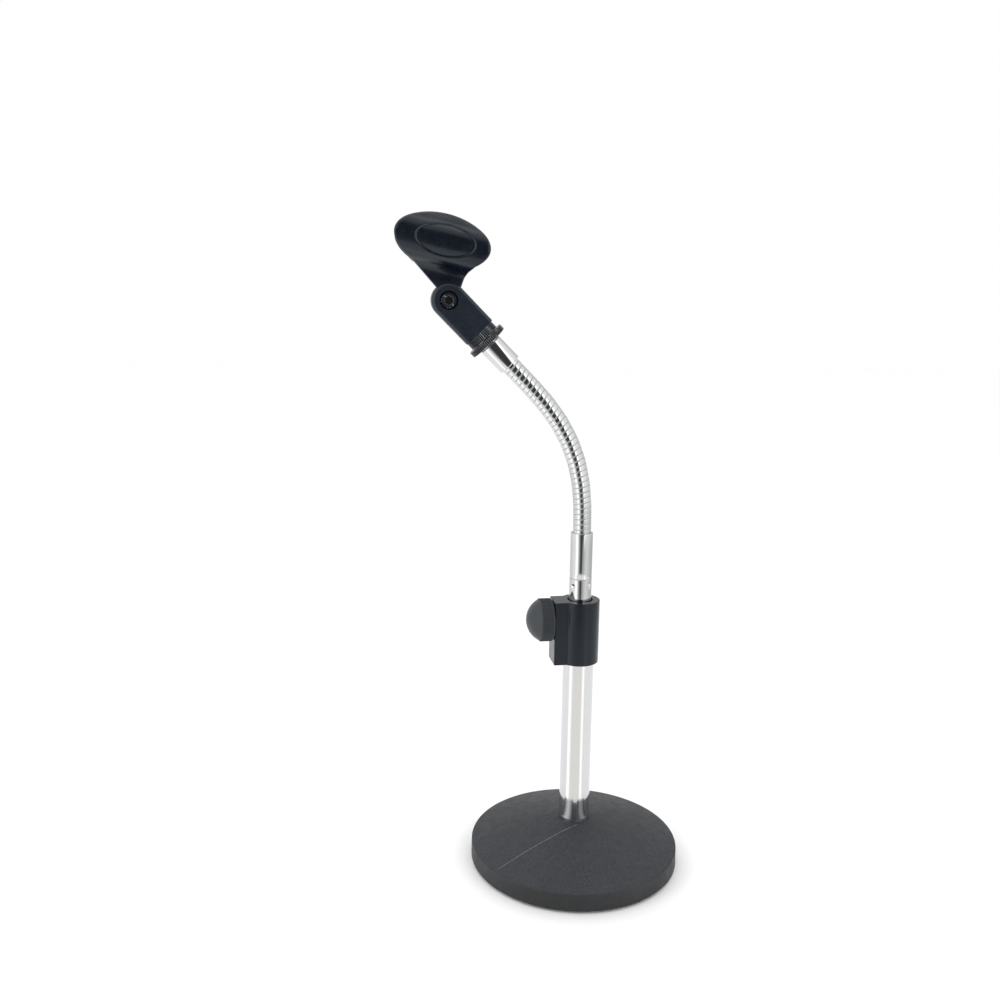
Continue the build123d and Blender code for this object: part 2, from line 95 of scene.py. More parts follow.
class Shader:
    """A procedural material: a Principled BSDF with helpers for the nodes that feed it."""

    def __init__(self, name, **sockets):
        self.material = bpy.data.materials.new(name)
        self.material.use_nodes = True
        self.tree = self.material.node_tree
        self.bsdf = self.tree.nodes["Principled BSDF"]
        for socket, value in sockets.items():
            self.bsdf.inputs[socket.replace("_", " ")].default_value = value
        self.place = self.node("ShaderNodeTexCoord").outputs["Object"]

    def node(self, kind, **inputs):
        """A new node with some inputs set: a socket is linked, anything else is a value."""
        new = self.tree.nodes.new(kind)
        for name, value in inputs.items():
            self.feed(new.inputs[name.replace("_", " ")], value)
        return new

    def feed(self, socket, value):
        """Links an output to a socket, or sets its value."""
        if isinstance(value, bpy.types.NodeSocket):
            self.tree.links.new(value, socket)
        else:
            socket.default_value = value

    def noise(self, size, detail=2.0, roughness=0.5, stretch=(1, 1, 1)):
        """Noise whose features are about `size` metres across, drawn out by `stretch`."""
        scaled = self.node("ShaderNodeMapping", Vector=self.place, Scale=[1 / s for s in stretch])
        place = scaled.outputs["Vector"]
        texture = self.node("ShaderNodeTexNoise", Vector=place, Scale=1 / size, Detail=detail)
        self.feed(texture.inputs["Roughness"], roughness)
        return texture.outputs["Fac"]

    def cells(self, size):
        """Distance to the nearest of points scattered about `size` metres apart, and a number for each."""
        texture = self.node("ShaderNodeTexVoronoi", Vector=self.place, Scale=1 / size)
        return texture.outputs["Distance"], texture.outputs["Color"]

    def ramp(self, value, *stops, smooth=True):
        """A colour or grey for each value: stops are (position, grey or colour)."""
        new = self.node("ShaderNodeValToRGB", Fac=value)
        ramp = new.color_ramp
        ramp.interpolation = "EASE" if smooth else "LINEAR"
        while len(ramp.elements) < len(stops):
            ramp.elements.new(0.5)
        for element, (position, colour) in zip(ramp.elements, stops):
            element.position = position
            element.color = (*colour, 1) if isinstance(colour, tuple) else (colour, colour, colour, 1)
        return new.outputs["Color"]

    def mix(self, factor, a, b, blend="MIX"):
        """Colours a and b mixed by factor."""
        new = self.tree.nodes.new("ShaderNodeMix")
        new.data_type = "RGBA"
        new.blend_type = blend
        self.feed(new.inputs["Factor"], factor)
        for socket, value in ((new.inputs[6], a), (new.inputs[7], b)):
            self.feed(socket, (*value, 1) if isinstance(value, tuple) else value)
        return new.outputs[2]

    def bump(self, height, distance, strength=1.0):
        """Feeds a height into the normal; a second call adds its bump over the first."""
        new = self.node("ShaderNodeBump", Height=height, Distance=distance, Strength=strength)
        if self.bsdf.inputs["Normal"].is_linked:
            self.tree.links.new(self.bsdf.inputs["Normal"].links[0].from_socket, new.inputs["Normal"])
        self.feed(self.bsdf.inputs["Normal"], new.outputs["Normal"])

    def maths(self, operation, a, b=0.0):
        """The result of a Math node."""
        new = self.tree.nodes.new("ShaderNodeMath")
        new.operation = operation
        self.feed(new.inputs[0], a)
        self.feed(new.inputs[1], b)
        return new.outputs["Value"]

    def along(self, direction, start=(0, 0, 0)):
        """How far a place is from start in a direction, in millimetres."""
        moved = self.node("ShaderNodeMapping", Vector=self.place, Location=[-c for c in start])
        dot = self.tree.nodes.new("ShaderNodeVectorMath")
        dot.operation = "DOT_PRODUCT"
        self.feed(dot.inputs[0], moved.outputs["Vector"])
        self.feed(dot.inputs[1], tuple(c / MM for c in direction))
        return dot.outputs["Value"]

    def rise(self, value, start, end):
        """0 where value is at or below start, 1 at or above end."""
        new = self.node("ShaderNodeMapRange", Value=value)
        new.interpolation_type = "SMOOTHSTEP"
        new.inputs["From Min"].default_value = start
        new.inputs["From Max"].default_value = end
        return new.outputs["Result"]

    def colour(self, value):
        self.feed(self.bsdf.inputs["Base Color"], value)

    def rough(self, value):
        self.feed(self.bsdf.inputs["Roughness"], value)


CHROME_TINT = (0.66, 0.665, 0.67)
RIM_TOP = 14.0  # height of the edge between the base's rim and its top, in millimetres
# Painted shade: the darker colour given to the base's rim below its top edge, standing in for the shade
# round its foot.
RIM_PAINTED_SHADE = (0.0135, 0.0145, 0.0165)
SCRATCH_START = Vector((0.0006, -0.0127, 0))
SCRATCH_END = Vector((-0.0614, -0.0417, 0))
SCRATCH_TONE = (0.16, 0.16, 0.17)
DUST_TONE = (0.16, 0.16, 0.165)


def chrome(name, roughness, streak=(1, 1, 1)):
    """Bright chrome with faint rubbing marks and a slight haze of handling."""
    shader = Shader(name, Metallic=1.0)
    haze = shader.noise(18 * MM, detail=3)
    shader.colour(shader.mix(haze, tuple(0.94 * c for c in CHROME_TINT), CHROME_TINT))
    marks = shader.noise(0.5 * MM, detail=4, stretch=streak)
    shader.rough(shader.ramp(marks, (0.35, roughness), (0.75, roughness * 2.2)))
    shader.bump(shader.noise(0.35 * MM, detail=3, stretch=streak), 0.002 * MM)
    return shader.material


def brushed_tube(name):
    """Chrome tube polished round its axis, which draws highlights out along it."""
    shader = Shader(name, Metallic=1.0, Anisotropic=0.6, Anisotropic_Rotation=0.25)
    tangent = shader.tree.nodes.new("ShaderNodeTangent")
    tangent.direction_type = "RADIAL"
    tangent.axis = "Z"
    shader.feed(shader.bsdf.inputs["Tangent"], tangent.outputs["Tangent"])
    bands = shader.noise(0.6 * MM, detail=4, stretch=(30, 30, 1))
    haze = shader.noise(25 * MM, detail=3)
    shader.colour(shader.mix(haze, tuple(0.95 * c for c in CHROME_TINT), CHROME_TINT))
    shader.rough(shader.ramp(bands, (0.3, 0.05), (0.7, 0.09)))
    shader.bump(shader.noise(7 * MM, detail=2, stretch=(1, 1, 3)), 0.012 * MM)
    shader.bump(bands, 0.002 * MM)
    return shader.material


def powder_coat(name):
    """Matt charcoal powder coat with orange peel, dust specks, slightly rubbed patches and painted shade on
    the rim.
    """
    shader = Shader(name, IOR=1.45)
    patches = shader.noise(35 * MM, detail=4)
    tone = shader.mix(patches, (0.0195, 0.0210, 0.0255), (0.027, 0.0285, 0.034))
    sand = shader.ramp(shader.noise(0.9 * MM, detail=3, roughness=0.7), (0.32, 0.55), (0.68, 1.6))
    tone = shader.mix(1.0, tone, sand, blend="MULTIPLY")
    up = shader.along((0, 0, 1))
    # Painted shade: below the edge to the top, the rim takes a darker colour for the shade that falls on it.
    tone = shader.mix(shader.rise(up, RIM_TOP - 1.0, RIM_TOP + 0.6), RIM_PAINTED_SHADE, tone)
    # A hairline scratch across the top, fainter in places.
    way = (SCRATCH_END - SCRATCH_START).normalized()
    aside = shader.maths("ABSOLUTE", shader.along((-way.y, way.x, 0), SCRATCH_START))
    onward = shader.along(way, SCRATCH_START)
    line = shader.maths("SUBTRACT", 1.0, shader.rise(aside, 0.12, 0.30))
    line = shader.maths("MULTIPLY", line, shader.rise(onward, 0.0, 0.5))
    reach = (SCRATCH_END - SCRATCH_START).length / MM
    fading = shader.rise(onward, reach - 6, reach)
    line = shader.maths("MULTIPLY", line, shader.maths("SUBTRACT", 1.0, fading))
    line = shader.maths("MULTIPLY", line, shader.rise(up, RIM_TOP, RIM_TOP + 0.5))
    worn = shader.rise(shader.noise(4 * MM, detail=2), 0.25, 0.6)
    line = shader.maths("MULTIPLY", line, shader.maths("MULTIPLY_ADD", worn, 0.6))
    distance, number = shader.cells(2.6 * MM)
    speck = shader.ramp(distance, (0.0, 1.0), (0.055, 1.0), (0.075, 0.0))
    chosen = shader.ramp(number, (0.80, 0.0), (0.84, 1.0))
    dust = shader.mix(1.0, speck, chosen, blend="MULTIPLY")
    tone = shader.mix(dust, tone, DUST_TONE)
    shader.colour(shader.mix(line, tone, SCRATCH_TONE))
    shader.rough(shader.ramp(shader.noise(6 * MM, detail=3), (0.3, 0.52), (0.7, 0.62)))
    shader.bump(shader.noise(0.9 * MM, detail=2), 0.08 * MM)
    shader.bump(shader.noise(0.25 * MM, detail=2), 0.03 * MM)
    return shader.material


def moulded(name, dark, light, roughness, grain=0.25, depth=0.012, ior=1.46, tones_and_highlights=()):
    """Moulded plastic with a fine spark-eroded grain and faint flow patches.

    Each tone is (direction, start, from, to, colour): the colour takes over between two distances from start
    along the direction, in millimetres; some of these colours are painted highlights.
    """
    shader = Shader(name, IOR=ior)
    shader.bsdf.inputs["Specular Tint"].default_value = (0.86, 0.94, 1.0, 1)
    tone = shader.mix(shader.noise(14 * MM, detail=3), dark, light)
    for direction, start, low, high, colour in tones_and_highlights:
        amount = shader.rise(shader.along(direction, start), low, high)
        patches = shader.ramp(shader.noise(9 * MM, detail=4), (0.3, 0.7), (0.7, 1.0))
        tone = shader.mix(shader.maths("MULTIPLY", amount, patches), tone, colour)
    shader.colour(tone)
    shader.rough(shader.ramp(shader.noise(3 * MM, detail=4), (0.3, roughness), (0.75, roughness + 0.09)))
    shader.bump(shader.noise(grain * MM, detail=2), depth * MM)
    shader.bump(shader.noise(5 * MM, detail=1), 0.03 * MM)
    return shader.material


def blackened_steel(name):
    """Black oxide on turned steel, with a painted highlight: lighter on sharp convex edges and knurl crests.
    """
    shader = Shader(name, Metallic=0.5, IOR=1.5)
    tone = shader.mix(shader.noise(2 * MM, detail=4), (0.016, 0.018, 0.023), (0.030, 0.032, 0.038))
    # Painted highlight: the sharpest convex places, edges and knurl crests, get a pale colour for the glints
    # they would catch.
    convex = shader.node("ShaderNodeNewGeometry").outputs["Pointiness"]
    shader.colour(shader.mix(shader.rise(convex, 0.515, 0.58), tone, (0.30, 0.31, 0.34)))
    shader.rough(shader.ramp(shader.noise(0.8 * MM, detail=3), (0.3, 0.20), (0.7, 0.32)))
    shader.bump(shader.noise(0.2 * MM, detail=3), 0.008 * MM)
    return shader.material


def plated_steel(name):
    """Zinc plating: pale grey, slightly mottled."""
    shader = Shader(name, Metallic=1.0)
    shader.colour(shader.mix(shader.noise(2 * MM, detail=4), (0.50, 0.51, 0.53), (0.62, 0.62, 0.60)))
    shader.rough(shader.ramp(shader.noise(1 * MM, detail=3), (0.3, 0.25), (0.7, 0.4)))
    shader.bump(shader.noise(0.3 * MM, detail=3), 0.006 * MM)
    return shader.material


def turned_brass(name):
    """Brass insert with fine turning marks."""
    shader = Shader(name, Metallic=1.0)
    shader.colour(shader.mix(shader.noise(2 * MM, detail=3), (0.62, 0.44, 0.18), (0.74, 0.56, 0.26)))
    shader.rough(shader.ramp(shader.noise(0.4 * MM, detail=3), (0.3, 0.22), (0.7, 0.36)))
    shader.bump(shader.noise(0.25 * MM, detail=2), 0.01 * MM)
    return shader.material


def soft_sheet(name):
    """Closed-cell foam sheet with a fine cellular skin."""
    shader = Shader(name, IOR=1.4)
    distance, _ = shader.cells(0.7 * MM)
    shader.colour(shader.ramp(distance, (0.0, 0.012), (0.6, 0.03)))
    shader.rough(shader.ramp(shader.noise(2 * MM), (0.3, 0.8), (0.7, 0.92)))
    shader.bump(distance, 0.06 * MM)
    return shader.material


WING_TILT = radians(12.7)  # how far the microphone's axis falls towards +X
WING_CENTRE = Vector((-4.3, 0, 37.5))  # the middle of the clip's wings, in millimetres from the clip's pivot
CLIP_MIDDLE = joint_point("clip_tilt") + WING_CENTRE * MM
CLIP_UP = (sin(WING_TILT), 0, cos(WING_TILT))
COLLAR_DARK, COLLAR_LIGHT = (0.0035, 0.0060, 0.0100), (0.0055, 0.008, 0.0125)
CLIP_DARK, CLIP_LIGHT = (0.0025, 0.0050, 0.0100), (0.0045, 0.0075, 0.0135)
KNOB_DARK, KNOB_LIGHT = (0.036, 0.0385, 0.043), (0.044, 0.0465, 0.051)
# The barrel gets its own tone; the wings' upper edge gets a painted highlight, lighter where it faces the
# sky.
CLIP_TONES_AND_HIGHLIGHT = (
    ((0, 0, -1), joint_point("clip_tilt"), -14, -10, (0.013, 0.0175, 0.0265)),  # the barrel
    (CLIP_UP, CLIP_MIDDLE, 3.0, 17.5, (0.062, 0.065, 0.074)),  # the wings' upper edge: painted highlight, lighter where it faces the sky
)
materials = {
    "base_coat": powder_coat("charcoal_powder_coat"),
    "foot_foam": soft_sheet("black_foam"),
    "zinc_steel": plated_steel("zinc_plate"),
    "chrome_tube": brushed_tube("chrome_tube"),
    "chrome_fitting": chrome("chrome_fitting", 0.04),
    "chrome_coil": chrome("chrome_coil", 0.05),
    "black_moulding": moulded("black_collar", COLLAR_DARK, COLLAR_LIGHT, 0.19, ior=1.40),
    "clip_moulding": moulded("black_clip", CLIP_DARK, CLIP_LIGHT, 0.21, 0.3, 0.008, tones_and_highlights=CLIP_TONES_AND_HIGHLIGHT),
    "knob_moulding": moulded("black_knob", KNOB_DARK, KNOB_LIGHT, 0.38, 0.35, 0.03, 1.40),
    "nylon": moulded("natural_nylon", (0.60, 0.59, 0.54), (0.68, 0.67, 0.62), 0.42),
    "brass": turned_brass("turned_brass"),
    "black_metal": blackened_steel("black_oxide"),
    "fibre": moulded("fibre_washer", (0.09, 0.065, 0.05), (0.13, 0.10, 0.08), 0.75, 0.5, 0.05),
}
slot_of = {part["node"]: part["material_slot"] for part in frame["record"]["subparts"]}
for node_name, node_object in frame["nodes"].items():
    node_object.data.materials.clear()
    node_object.data.materials.append(materials[slot_of[node_name]])


# ------------------------------------------------------------------------------------------- mesh helpers


def piece(name, verts, faces, node, body=None):
    """A smooth mesh with a CAD node's material.  Given a body, it rides on it and replaces the node."""
    mesh = bpy.data.meshes.new(name)
    mesh.from_pydata([tuple(v) for v in verts], [], faces)
    mesh.validate()
    mesh.shade_smooth()
    mesh.set_sharp_from_angle(angle=radians(38))
    mesh.materials.append(materials[slot_of[node]])
    new = bpy.data.objects.new(name, mesh)
    bpy.context.scene.collection.objects.link(new)
    if body:
        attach(new, body)
        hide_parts(node)
    return new


def frame_along(axis):
    """A rotation that carries +Z onto axis without turning about it."""
    return Vector(axis).to_track_quat("Z", "Y").to_matrix() if abs(axis.z) < 0.9999 else Matrix.Identity(3)


def rounded(points, steps=5):
    """A profile of (radius, height, corner) in millimetres, with each corner rounded by about its radius."""
    count = len(points)
    out = []
    for i, (r, z, corner) in enumerate(points):
        here = Vector((r, z))
        before = Vector(points[i - 1][:2]) - here
        after = Vector(points[(i + 1) % count][:2]) - here
        if corner <= 0 or i in (0, count - 1):
            out.append(here)
            continue
        half = before.angle(after) / 2
        reach = min(corner / tan(half), 0.49 * before.length, 0.49 * after.length)
        start, end = here + before.normalized() * reach, here + after.normalized() * reach
        for k in range(steps + 1):
            t = k / steps
            out.append(start * (1 - t) ** 2 + here * 2 * t * (1 - t) + end * t**2)
    return out


def lathe(profile, foot, axis, segments=128, relief=None):
    """Vertices and faces of a profile of (radius, height) in millimetres turned about axis at foot.

    relief(angle, height, radius) returns the radius there, for ribs.  Ends at radius 0 close to a point.
    """
    turn = frame_along(axis)
    verts, faces, rings = [], [], []
    for radius, height in profile:
        if radius < 1e-6:
            rings.append([len(verts)] * segments)
            verts.append(foot + turn @ Vector((0, 0, height * MM)))
            continue
        ring = []
        for k in range(segments):
            angle = 2 * pi * k / segments
            r = relief(angle, height, radius) if relief else radius
            ring.append(len(verts))
            verts.append(foot + turn @ Vector((r * cos(angle) * MM, r * sin(angle) * MM, height * MM)))
        rings.append(ring)
    for low, high in zip(rings, rings[1:]):
        for k in range(segments):
            j = (k + 1) % segments
            corners = [low[k], low[j], high[j], high[k]]
            face = [c for n, c in enumerate(corners) if c not in corners[:n]]
            if len(face) > 2:
                faces.append(face)
    return verts, faces


def closed(profile):
    """A ring's profile, closed back to its first point."""
    return profile + [profile[0]]


def joined(*parts):
    """Several (verts, faces) pairs as one."""
    verts, faces = [], []
    for more_verts, more_faces in parts:
        start = len(verts)
        verts += more_verts
        faces += [[start + index for index in face] for face in more_faces]
    return verts, faces


# ------------------------------------------------------------------------------------------- telescopic tube
TUBE_RADIUS = 8.0
TUBE_BORE = 6.8
COIL_RADIUS = 6.5


def build_inner_tube():
    """Inner tube, punched on the neck's ferrule by a row of shallow dimples just below its end."""
    low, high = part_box("inner_tube")
    length = (high.z - low.z) / MM
    dimples, from_end, depth, spread = 4, 5.2, 0.65, 1.9
    fine_length = 18  # below the top, where the rings are close enough for the dimples

    def crimp(angle, height, radius):
        if radius < TUBE_RADIUS - 0.7:
            return radius
        turned = 0.056  # of the space between two dimples
        phase = (angle / (2 * pi) * dimples + turned) % 1.0 - 0.5
        around = phase * 2 * pi * TUBE_RADIUS / dimples
        up = height - (length - from_end)
        near = min(1.0, sqrt(around**2 + up**2) / spread)
        return radius - depth * (1 - near**2) ** 1.5

    outside = [(TUBE_RADIUS, 0.4)]
    outside += [(TUBE_RADIUS, h) for h in (length * 0.5, length - fine_length)]
    outside += [(TUBE_RADIUS, length - fine_length + 0.35 * k) for k in range(1, 50)]
    end = [(TUBE_RADIUS, length - 0.35), (TUBE_RADIUS - 0.3, length), (TUBE_BORE, length)]
    profile = closed([(TUBE_BORE, 0), (TUBE_RADIUS - 0.4, 0)] + outside + end)
    verts, faces = lathe(profile, Vector((0, 0, low.z)), UP, 160, crimp)
    piece("inner_tube_skin", verts, faces, "inner_tube", "tube")


def build_lower_ferrule():
    """Sleeve between the inner tube and the coil, with a recess at the top that the coil sinks into."""
    low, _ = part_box("neck_lower_ferrule")
    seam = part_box("inner_tube")[1].z / MM + 0.3 - low.z / MM
    top = joint_point("neck_bend").z / MM - JOINT_GAP / 2 - low.z / MM
    profile = rounded([
        (0, 0, 0), (TUBE_BORE - 0.1, 0, 0.6), (TUBE_BORE - 0.1, seam, 0.0), (TUBE_RADIUS, seam, 0.25),
        (TUBE_RADIUS, top, 0.8), (COIL_RADIUS + 0.15, top, 0.2), (COIL_RADIUS + 0.15, top - 2.5, 0),
        (0, top - 2.5, 0),
    ])
    verts, faces = lathe(profile, Vector((0, 0, low.z)), UP, 128)
    piece("lower_ferrule", verts, faces, "neck_lower_ferrule", "tube")


# ------------------------------------------------------------------------------------------- gooseneck
neck = [joint for joint in frame["joints"] if joint["name"].startswith("neck_")]
neck_points = [Vector(joint["pos_m"]) for joint in neck]
JOINT_GAP = (neck_points[1] - neck_points[0]).length / MM
COIL_PITCH = 3.72
GROOVE_DEPTH = 0.75
CROWN = 0.02  # how much lower a turn of the coil is at its edges than along its middle
GROOVE_SHARE = 0.25  # of the pitch
COIL_BORE = 4.4
COIL_SINK = 1.6  # how far the coil goes into each ferrule
head_axis = joint_axis("clip_turn")
COIL_END = 5.4  # above the last joint, where the upper ferrule starts


def spine():
    """Points midway between the neck's joints, with the coil's direction at each."""
    stops = [(neck_points[0] - UP * JOINT_GAP / 2 * MM, UP)]
    for low, high in zip(neck_points, neck_points[1:]):
        stops.append(((low + high) / 2, (high - low).normalized()))
    stops.append((neck_points[-1] + head_axis * COIL_END * MM, head_axis))
    return stops


def hermite(a, along_a, b, along_b, t):
    """Point and direction at t on the smooth curve from a to b."""
    reach = (b - a).length
    u, v = along_a * reach, along_b * reach
    point = a * (2 * t**3 - 3 * t**2 + 1) + u * (t**3 - 2 * t**2 + t)
    point = point + b * (3 * t**2 - 2 * t**3) + v * (t**3 - t**2)
    slope = a * (6 * t**2 - 6 * t) + u * (3 * t**2 - 4 * t + 1)
    slope = slope + b * (6 * t - 6 * t**2) + v * (3 * t**2 - 2 * t)
    return point, slope.normalized()


def coil_radius(turns, angle):
    """The coil's outer radius, in millimetres, after so many turns of its helix, at an angle round it."""
    across = abs(2 * ((turns - angle / (2 * pi)) % 1.0) - 1)
    into = max(0.0, (across - 1 + GROOVE_SHARE) / GROOVE_SHARE)
    return COIL_RADIUS - GROOVE_DEPTH * into**1.5 - CROWN * across**2


# Where the neck bends and sways at once, rounding can send that point far away, in one order of the two
# bodies and not in the other. These joints are listed for that, but their coil is built like the rest.
REVERSED_JOINTS = (7, 13)
# At joint 3 both orders fail, so the coil is in two rigid halves there, over a round core.
SPLIT_JOINT = 3
CORE_RADIUS = 5.3


def coil_section(name, curve, length, places, travelled, node):
    """The tube of coil at the given places along curve, with its outer helix and its bore."""
    around = 64
    outer, inner, verts, faces = [], [], [], []
    for t in places:
        inside = min(1, max(0, t))
        point, along = hermite(*curve, inside)
        point = point + along * (t - inside) * length * MM
        side = Vector((0, 1, 0)).cross(along).normalized()
        turns = (travelled + t * length) / COIL_PITCH
        for ring in (outer, inner):
            ring.append([])
            for k in range(around):
                angle = 2 * pi * k / around
                out = side * cos(angle) + Vector((0, 1, 0)) * sin(angle)
                radius = coil_radius(turns, angle) if ring is outer else COIL_BORE
                ring[-1].append(len(verts))
                verts.append(point + out * radius * MM)
    for k in range(around):
        j = (k + 1) % around
        for low, high in zip(outer, outer[1:]):
            faces.append((low[k], high[k], high[j], low[j]))
        for low, high in zip(inner, inner[1:]):
            faces.append((low[k], low[j], high[j], high[k]))
        faces.append((outer[0][k], outer[0][j], inner[0][j], inner[0][k]))
        faces.append((outer[-1][k], inner[-1][k], inner[-1][j], outer[-1][j]))
    coil = piece(name, verts, faces, node)
    coil.data.set_sharp_from_angle(angle=radians(75))
    return coil


def build_coil():
    """The coil, in one piece for each joint of the neck, cut where the links are rigid."""
    stops = spine()
    steps_per_turn = 26
    travelled = 0.0
    for number, ((a, along_a), (b, along_b)) in enumerate(zip(stops, stops[1:]), start=1):
        length = (b - a).length / MM
        last = number == len(stops) - 1
        ring_count = 2 * ceil(length / COIL_PITCH * steps_per_turn / 2)
        places = [k / ring_count for k in range(ring_count + 1)]
        if number == 1:
            places = [-COIL_SINK / length, -COIL_SINK / length / 2] + places
        if last:
            places = places + [1 + COIL_SINK / length / 2, 1 + COIL_SINK / length]
        joint = neck[number - 1]
        node = f"gooseneck_link_{min(number, len(neck) - 1):02d}"
        name = f"coil_{number:02d}"
        curve = (a, along_a, b, along_b)
        if number == SPLIT_JOINT:
            middle = ring_count // 2
            coil = coil_section(name, curve, length, places[:middle + 1], travelled, node)
            upper = coil_section(name + "_upper", curve, length, places[middle:], travelled, node)
            profile = [(CORE_RADIUS * sin(pi * k / 24), -CORE_RADIUS * cos(pi * k / 24)) for k in range(25)]
            core = piece(name + "_core", *lathe(profile, Vector(joint["pos_m"]), along_a, 64), node)
            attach(coil, joint["parent"])
            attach(core, joint["parent"])
            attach(upper, joint["child"])
        else:
            coil = coil_section(name, curve, length, places, travelled, node)
            if number in REVERSED_JOINTS:
                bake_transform(coil)
            else:
                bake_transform(coil)
        if not last:
            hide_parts(node)
        travelled += length


def build_upper_ferrule():
    """Sleeve over the coil's upper end, with the threaded stud that the clip screws on."""
    foot = neck_points[-1]
    ring = joint_point("lock_ring_turn") - foot
    ring_foot = ring.length / MM - 1.9
    stud_top = 46.0
    recess = COIL_RADIUS + 0.15
    neck_radius = 7.3
    profile = rounded([
        (0, COIL_END + 2.0, 0), (recess, COIL_END + 2.0, 0), (recess, COIL_END, 0.2),
        (TUBE_RADIUS, COIL_END, 0.9), (TUBE_RADIUS, ring_foot - 1.4, 0.5),
        (neck_radius, ring_foot - 0.9, 0.2), (neck_radius, ring_foot, 0),
    ])
    pitch, crest, root = 0.94, 7.9, 7.45
    height = ring_foot + 0.2
    while height < stud_top - 1.5:
        profile += [(root, height), (crest, height + pitch / 2)]
        height += pitch
    profile += [(6.9, stud_top - 0.1), (0, stud_top - 0.1)]
    verts, faces = lathe(profile, foot, head_axis, 128)
    piece("upper_ferrule", verts, faces, "neck_upper_ferrule", "neck_end")


# ------------------------------------------------------------------------------------------- knurls and ribs


def ribs(count, depth, sharpness=1.0, low=-1e9, high=1e9, fade=0.6):
    """A relief of `count` axial ribs between two heights, that fades out over `fade` at each end."""

    def relief(angle, height, radius):
        inside = min(height - low, high - height)
        if inside <= -1e-6:
            return radius
        groove = (0.5 - 0.5 * cos(angle * count)) ** sharpness
        return radius - depth * groove * min(1.0, max(0.0, inside / fade))

    return relief


def build_lock_ring():
    """Thin knurled ring on the neck's thread."""
    centre = joint_point("lock_ring_turn")
    half, outer, bore = 1.9, 13.8, 7.95
    profile = rounded([
        (bore, -half, 0), (outer, -half, 0.35), (outer, -half / 3, 0), (outer, half / 3, 0),
        (outer, half, 0.35), (bore, half, 0.3), (bore, -half, 0),
    ])
    relief = ribs(62, 0.6, 0.7, -half - 0.05, half + 0.05, 0.3)

    def rim_only(angle, height, radius):
        return relief(angle, height, radius) if radius > outer - 0.8 else radius

    verts, faces = lathe(profile, centre, head_axis, 62 * 10, rim_only)
    piece("knurled_lock_ring", verts, faces, "lock_ring", "jam_ring")


def build_thread_insert():
    """Insert with a finely knurled collar, moulded into the barrel."""
    foot = neck_points[-1]
    low, high, end, outer, sleeve, bore = 29.9, 35.4, 48.0, 10.9, 9.4, 7.95
    profile = rounded([
        (bore, low, 0), (outer, low, 0.5), (outer, high, 0.5), (sleeve, high, 0), (sleeve, end, 0.3),
        (bore, end, 0), (bore, low, 0),
    ])
    relief = ribs(48, 0.65, 0.7, low + 0.1, high - 0.1, 0.3)

    def rim_only(angle, height, radius):
        return relief(angle, height, radius) if radius > outer - 0.8 else radius

    verts, faces = lathe(profile, foot, head_axis, 48 * 12, rim_only)
    piece("knurled_insert", verts, faces, "thread_insert", "barrel")


def build_knob():
    """Domed clamp knob with fine ribs round its rim."""
    axis = joint_axis("clamp_knob_turn")
    foot = joint_point("clamp_knob_turn")
    back, rim, tip, radius = 20.2, 29.0, 38.2, 15.1
    dome_foot = (rim + 0.5, radius - 0.7)
    centre = (tip**2 - dome_foot[0] ** 2 - dome_foot[1] ** 2) / (2 * (tip - dome_foot[0]))
    dome_radius = tip - centre
    start = acos((dome_foot[0] - centre) / dome_radius)
    profile = rounded([
        (0, back + 2.5, 0), (9.5, back + 2.5, 0.5), (10.5, back, 0.4), (radius - 0.9, back, 0.5),
        (radius, back + 0.9, 0.3), (radius, rim, 0.25), (dome_foot[1], dome_foot[0], 0),
    ])
    heights = [back + 1.0 + k * (rim - back - 1.3) / 10 for k in range(1, 10)]
    at = next(k for k, p in enumerate(profile) if p[1] > back + 1.2 and p[0] > radius - 0.05)
    profile[at:at] = [Vector((radius, h)) for h in heights if profile[at - 1][1] < h < profile[at][1]]
    dome = [start * (1 - k / 28) for k in range(1, 29)]
    profile += [Vector((dome_radius * sin(a), centre + dome_radius * cos(a))) for a in dome]
    profile[-1] = Vector((0, tip))
    relief = ribs(56, 0.85, 0.7, back + 0.4, rim + 0.35, 0.5)

    def rim_only(angle, height, r):
        return relief(angle, height, r) if r > radius - 1.2 else r

    piece("ribbed_knob", *lathe(profile, foot, axis, 56 * 8, rim_only), "clamp_knob", "knob")


def build_pivot_bolt():
    """Socket-head bolt of the tilt, with a chamfered head and a hexagonal socket."""
    axis = Vector((0, -1, 0))
    pivot = joint_point("clip_tilt")
    low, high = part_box("pivot_bolt")
    face, far = (pivot.y - low.y) / MM, (pivot.y - high.y) / MM
    radius, shank, seat, across_flats = (high.z - low.z) / MM / 2, 2.5, 6.5, 5.0
    floor_height = seat + 1.6
    socket = across_flats / 2
    profile = rounded([
        (0, far, 0), (shank, far, 0.3), (shank, seat, 0), (radius, seat, 0.2), (radius, face - 0.75, 0.15),
        (radius - 0.75, face, 0.15), (socket + 0.95, face, 0),
    ])
    profile += [
        Vector((socket + 0.5, face)), Vector((socket + 0.42, face - 0.05)), Vector((socket, face - 0.45)),
        Vector((socket, floor_height)), Vector((0, floor_height)),
    ]

    def hexagon(angle, height, r):
        flat_angle = (angle + pi / 6) % (pi / 3) - pi / 6
        return r / cos(flat_angle) if r < socket + 0.6 and height > seat + 0.5 else r

    piece("pivot_bolt_head", *lathe(profile, pivot, axis, 144, hexagon), "pivot_bolt", "barrel")


